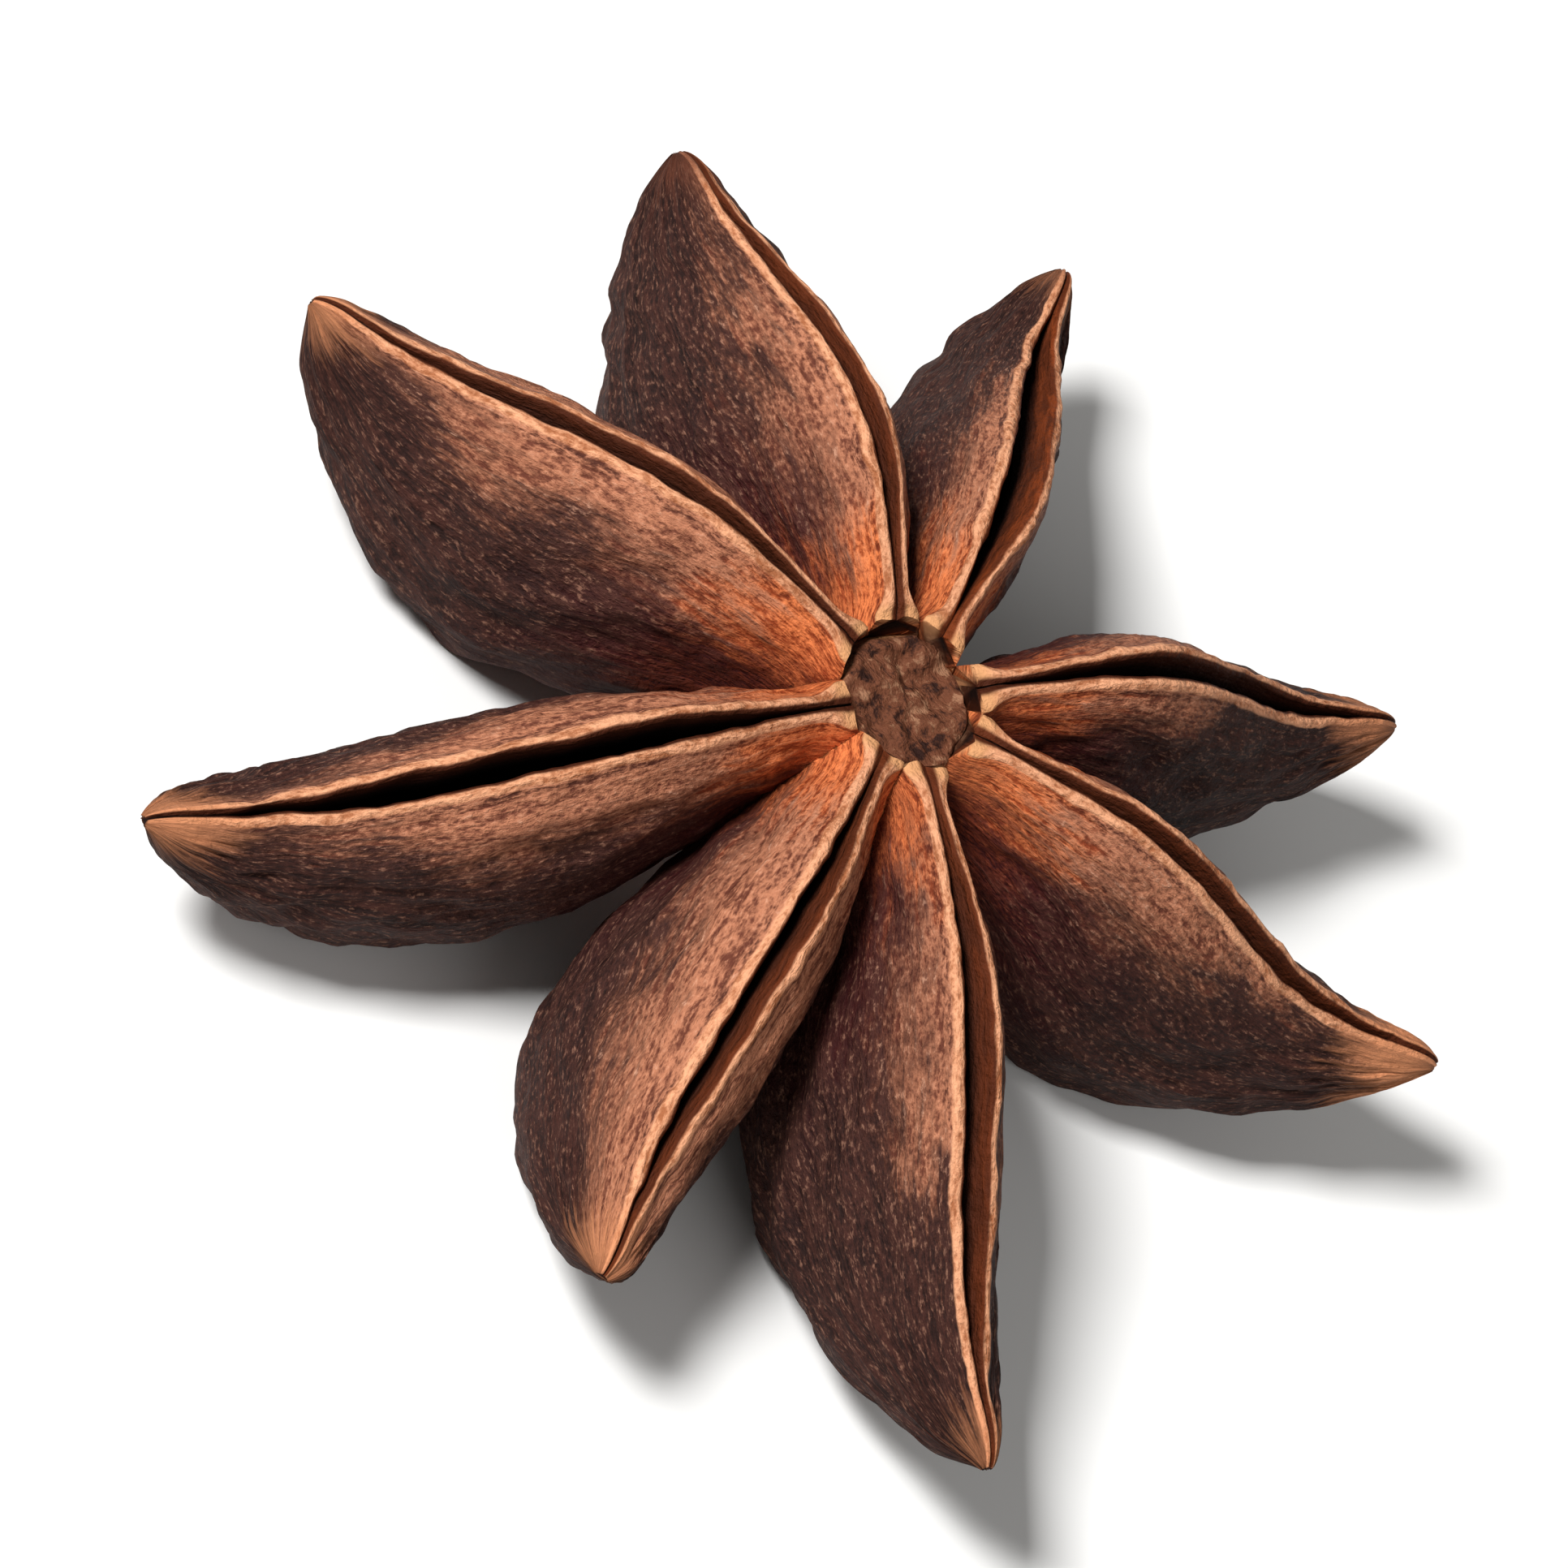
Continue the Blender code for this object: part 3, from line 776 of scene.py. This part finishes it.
class Wiring:
    """Short calls for wiring a material's nodes."""

    def __init__(self, material):
        material.use_nodes = True
        self.tree = material.node_tree

    def node(self, kind, inputs, **settings):
        made = self.tree.nodes.new(kind)
        for name, value in settings.items():
            setattr(made, name, value)
        for key, value in inputs.items():
            if isinstance(value, bpy.types.NodeSocket):
                self.tree.links.new(value, made.inputs[key])
            else:
                made.inputs[key].default_value = value
        return made

    def mark(self, name, output="Fac"):
        return self.node("ShaderNodeAttribute", {}, attribute_name=name).outputs[output]

    def math(self, operation, *values):
        return self.node("ShaderNodeMath", dict(enumerate(values)), operation=operation).outputs[0]

    def times(self, first, second):
        return self.math("MULTIPLY", first, second)

    def band(self, value, low, high):
        """0 where value is below low, 1 above high, and smooth between. With low above high, it falls."""
        inputs = {"Value": value, "From Min": low, "From Max": high}
        return self.node("ShaderNodeMapRange", inputs, interpolation_type="SMOOTHSTEP").outputs["Result"]

    def mapped(self, vector, scale):
        return self.node("ShaderNodeMapping", {"Vector": vector, "Scale": scale}).outputs["Vector"]

    def noise(self, vector, scale, detail, roughness, distortion):
        inputs = {"Vector": vector, "Scale": scale, "Detail": detail, "Roughness": roughness,
                  "Distortion": distortion}
        return self.node("ShaderNodeTexNoise", inputs).outputs["Fac"]

    def mix(self, factor, first, second):
        """A colour that goes from the first to the second as the factor rises.

        The node's sockets go by number, because the ones for colours share their names with others.
        """
        made = self.node("ShaderNodeMix", {}, data_type="RGBA", clamp_factor=True)
        for index, value in ((0, factor), (6, first), (7, second)):
            if isinstance(value, bpy.types.NodeSocket):
                self.tree.links.new(value, made.inputs[index])
            else:
                made.inputs[index].default_value = value
        return made.outputs[2]


# The noises that several parts of the finish share
Patterns = namedtuple("Patterns", "streaks fine flecks drift")


def skin_colours(wires, patterns):
    """The husk's outside: orange at the column, tan above, and dark and purplish below and further out.

    Returns the colour, and the dark one that it turns into, which is partly the husk's own colour and partly
    painted shade.
    """
    down, share, dust = wires.mark("down"), wires.mark("share"), wires.mark("dust")
    reach = wires.math("MULTIPLY_ADD", patterns.drift, COLOUR_DRIFT, share)
    level = wires.math("MULTIPLY_ADD", patterns.drift, COLOUR_DRIFT, down)
    pale = wires.times(wires.math("SUBTRACT", dust, 0.5), DUST_LOWERS)
    dark_end = wires.times(wires.math("SUBTRACT", 1.0, dust), wires.band(reach, *DARK_END))
    level = wires.math("MULTIPLY_ADD", dark_end, DARK_END_RAISES, wires.math("SUBTRACT", level, pale))

    mottle = wires.band(patterns.flecks, *MOTTLE)
    at_root = wires.band(reach, *AT_ROOT)
    # Orange and rust at the roots, brightened with painted light for the shaded crevices
    high = wires.mix(mottle, wires.mix(at_root, BROWN, RUST), wires.mix(at_root, TAN, ORANGE))
    low = wires.mix(wires.band(reach, *GREYS), MAROON, GREY_BROWN)
    low = wires.mix(wires.times(mottle, LOW_MOTTLE), low, wires.mix(at_root, DUSK, RUST))
    # Darker down the sides: partly the husk's own colour, partly painted shade
    colour = wires.mix(wires.band(level, *DARKENS_WITH_PAINTED_SHADE), high, low)

    # Pale speckles, strongest near the lips: partly the husk's own flecks, partly painted glints
    speckle_and_glints = wires.times(wires.band(patterns.flecks, *SPECKLE), wires.band(level, *SPECKLE_FADES))
    speckle_and_glints = wires.times(speckle_and_glints, wires.band(share, *SPECKLE_STARTS))
    colour = wires.mix(wires.times(speckle_and_glints, SPECKLE_STRENGTH), colour, PALE_FLECKS_AND_GLINTS)
    dots = wires.times(wires.band(patterns.fine, *DOTS), wires.band(share, *DOTS_START))
    return wires.mix(wires.times(dots, DOT_STRENGTH), colour, PALE_FLECKS_AND_GLINTS), low


def with_lips(wires, patterns, colour, low):
    """Adds the pale lips with their thick inner ends, a painted highlight of lip colour just over their outer
    edges, and the broken line of painted shade in the crease below them.
    """
    down, share = wires.mark("down"), wires.mark("share")
    lip_colour = wires.mix(wires.band(patterns.flecks, *LIP_MOTTLE), LIP_TAN, LIP_PALE_AND_HIGHLIGHT)
    lip_colour = wires.mix(wires.band(share, *AT_KNOB), lip_colour, KNOB_PALE)
    # A broken line of painted shade, in the crease below the lips
    line = wires.times(wires.band(down, *LINE_TOP), wires.band(down, *LINE_FOOT))
    line = wires.times(line, wires.band(share, *LINE_ENDS))
    line = wires.times(line, wires.band(patterns.flecks, *LINE_BREAKS))
    colour = wires.mix(wires.times(line, LINE_STRENGTH), colour, low)
    # A painted highlight: lip colour carried just over the lips' outer edges
    colour = wires.mix(wires.times(wires.band(down, *LIP_EDGE_HIGHLIGHT), LIP_EDGE_HIGHLIGHT_STRENGTH), colour, lip_colour)
    return wires.mix(wires.mark("lip"), colour, lip_colour)


def with_beak(wires, patterns, colour):
    """Adds the beak's colour, which reaches further back at the seam than at the keel."""
    starts = wires.mark("beak_from")
    reach = wires.math("MULTIPLY_ADD", patterns.drift, BEAK_DRIFT, wires.mark("share"))
    reach = wires.math("MULTIPLY_ADD", wires.mark("down"), BEAK_SLANT, reach)
    beak = wires.band(reach, starts, wires.math("ADD", starts, BEAK_LENGTH))
    beak_colour = wires.mix(wires.mark("beak"), BEAK_DARK, BEAK)
    return wires.mix(wires.times(beak, BEAK_STRENGTH), colour, beak_colour)


def with_hollow(wires, patterns, colour):
    """Adds the walls of the hollows, with painted shade that makes them the darker the deeper they go."""
    inside = wires.mark("inside")
    # The walls' paleness, set for each carpel, is partly painted shade on walls that face away from the light
    wall = wires.mix(wires.mark("wall"), INNER_DARK, INNER_PALE)
    streaks = wires.times(wires.band(patterns.streaks, *WALL_STREAKS), WALL_STREAK_STRENGTH)
    wall = wires.mix(streaks, wall, INNER_DARK)
    # Painted shade, the darker the deeper inside
    wall = wires.mix(wires.band(inside, *INTO_PAINTED_SHADE), wall, PAINTED_DEEP_SHADE)
    return wires.mix(wires.band(inside, *OVER_LIP), colour, wall)


def with_column_face(wires, place, colour):
    """Adds the crumbly brown of the column's face."""
    crumbs = wires.noise(place, *CRUMB_NOISE)
    face = wires.mix(wires.band(crumbs, *CRUMBS_BROWN), COLUMN_DARK, COLUMN_BROWN)
    face = wires.mix(wires.band(crumbs, *CRUMBS_PALE), face, COLUMN_PALE)
    return wires.mix(wires.mark("core"), colour, face)


def husk_material():
    """Dry, matt husk with a fine grain, coloured by the marks of its points and by noise along its grain."""
    material = bpy.data.materials.new("husk")
    wires = Wiring(material)
    grain = wires.mark("grain", "Vector")
    place = wires.node("ShaderNodeTexCoord", {}).outputs["Object"]
    patches = wires.noise(wires.mapped(grain, PATCH_RATES), *PATCH_NOISE)
    streaks = wires.noise(wires.mapped(grain, STREAK_RATES), *STREAK_NOISE)
    fine = wires.noise(wires.mapped(grain, FINE_RATES), *FINE_NOISE)
    grit = wires.noise(place, *GRIT_NOISE)
    flecks = wires.times(wires.math("ADD", streaks, fine), 0.5)
    drift = wires.times(wires.math("SUBTRACT", patches, 0.5), PATCH_DRIFT)
    drift = wires.math("MULTIPLY_ADD", wires.math("SUBTRACT", streaks, 0.5), STREAK_DRIFT, drift)
    patterns = Patterns(streaks, fine, flecks, drift)

    colour, low = skin_colours(wires, patterns)
    colour = with_lips(wires, patterns, colour, low)
    colour = with_beak(wires, patterns, colour)
    colour = with_hollow(wires, patterns, colour)
    colour = with_column_face(wires, place, colour)

    height = wires.math("MULTIPLY_ADD", streaks, BUMP_STREAKS, wires.times(fine, BUMP_FINE))
    height = wires.math("MULTIPLY_ADD", grit, BUMP_GRIT, height)
    bump_inputs = {"Height": height, "Strength": BUMP_STRENGTH, "Distance": BUMP_DISTANCE}
    bump = wires.node("ShaderNodeBump", bump_inputs).outputs["Normal"]
    least, most = ROUGHNESS
    roughness = wires.node("ShaderNodeMapRange", {"Value": flecks, "To Min": least, "To Max": most})
    shader = wires.tree.nodes["Principled BSDF"]
    shader.inputs["Specular IOR Level"].default_value = SPECULAR
    wires.tree.links.new(colour, shader.inputs["Base Color"])
    wires.tree.links.new(roughness.outputs["Result"], shader.inputs["Roughness"])
    wires.tree.links.new(bump, shader.inputs["Normal"])
    return material


def make_floor():
    half = FLOOR_HALF
    corners = [(-half, -half, 0), (half, -half, 0), (half, half, 0), (-half, half, 0)]
    mesh = bpy.data.meshes.new("floor")
    mesh.from_pydata(corners, [], [(0, 1, 2, 3)])
    floor = bpy.data.objects.new("floor", mesh)
    bpy.context.scene.collection.objects.link(floor)
    material = bpy.data.materials.new("floor")
    material.use_nodes = True
    shader = material.node_tree.nodes["Principled BSDF"]
    shader.inputs["Base Color"].default_value = FLOOR
    shader.inputs["Roughness"].default_value = FLOOR_ROUGHNESS
    mesh.materials.append(material)


def view_axes():
    """The picture's right and up, and the direction from the pod to the camera."""
    elevation = math.radians(VIEW_ELEVATION)
    lean = math.radians(UP_FROM_RIGHT)
    back = Vector((0.0, -math.cos(elevation), math.sin(elevation)))
    upright = Vector((0.0, math.sin(elevation), math.cos(elevation)))
    sideways = Vector((1.0, 0.0, 0.0))
    right = sideways * math.sin(lean) + upright * math.cos(lean)
    up = upright * math.sin(lean) - sideways * math.cos(lean)
    return right, up, back


def make_camera():
    right, up, back = view_axes()
    camera = bpy.data.objects.new("camera", bpy.data.cameras.new("camera"))
    bpy.context.scene.collection.objects.link(camera)
    turned = Matrix((right, up, back)).transposed().to_4x4()
    camera.matrix_world = Matrix.Translation(Vector(VIEW_TARGET) + back * VIEW_DISTANCE) @ turned
    camera.data.lens = VIEW_LENS
    camera.data.clip_start = CLIP_START
    bpy.context.scene.camera = camera


def make_lamp(name, direction, distance, size, power):
    """A square soft light that faces the pod."""
    light = bpy.data.lights.new(name, "AREA")
    light.size = size
    light.energy = power
    lamp = bpy.data.objects.new(name, light)
    bpy.context.scene.collection.objects.link(lamp)
    towards = direction.normalized()
    lamp.location = towards * distance
    lamp.rotation_euler = towards.to_track_quat("Z", "Y").to_euler()


def make_lights():
    right, up, back = view_axes()
    for lamp in LAMPS:
        direction = back * lamp.back + up * lamp.up + right * lamp.right
        make_lamp(lamp.name, direction, lamp.distance, lamp.size, lamp.power)
    world = bpy.data.worlds.new("studio")
    world.use_nodes = True
    background = world.node_tree.nodes["Background"]
    background.inputs["Color"].default_value = WORLD_TINT
    background.inputs["Strength"].default_value = WORLD_STRENGTH
    bpy.context.scene.world = world
    bpy.context.scene.view_settings.view_transform = "Standard"


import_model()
CAD_BOX = [list(corner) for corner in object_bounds()]

husk = make_husk()
husk.data.materials.clear()
husk.data.materials.append(husk_material())
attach(husk, "root")
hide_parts(NODE)
make_floor()
make_camera()
make_lights()
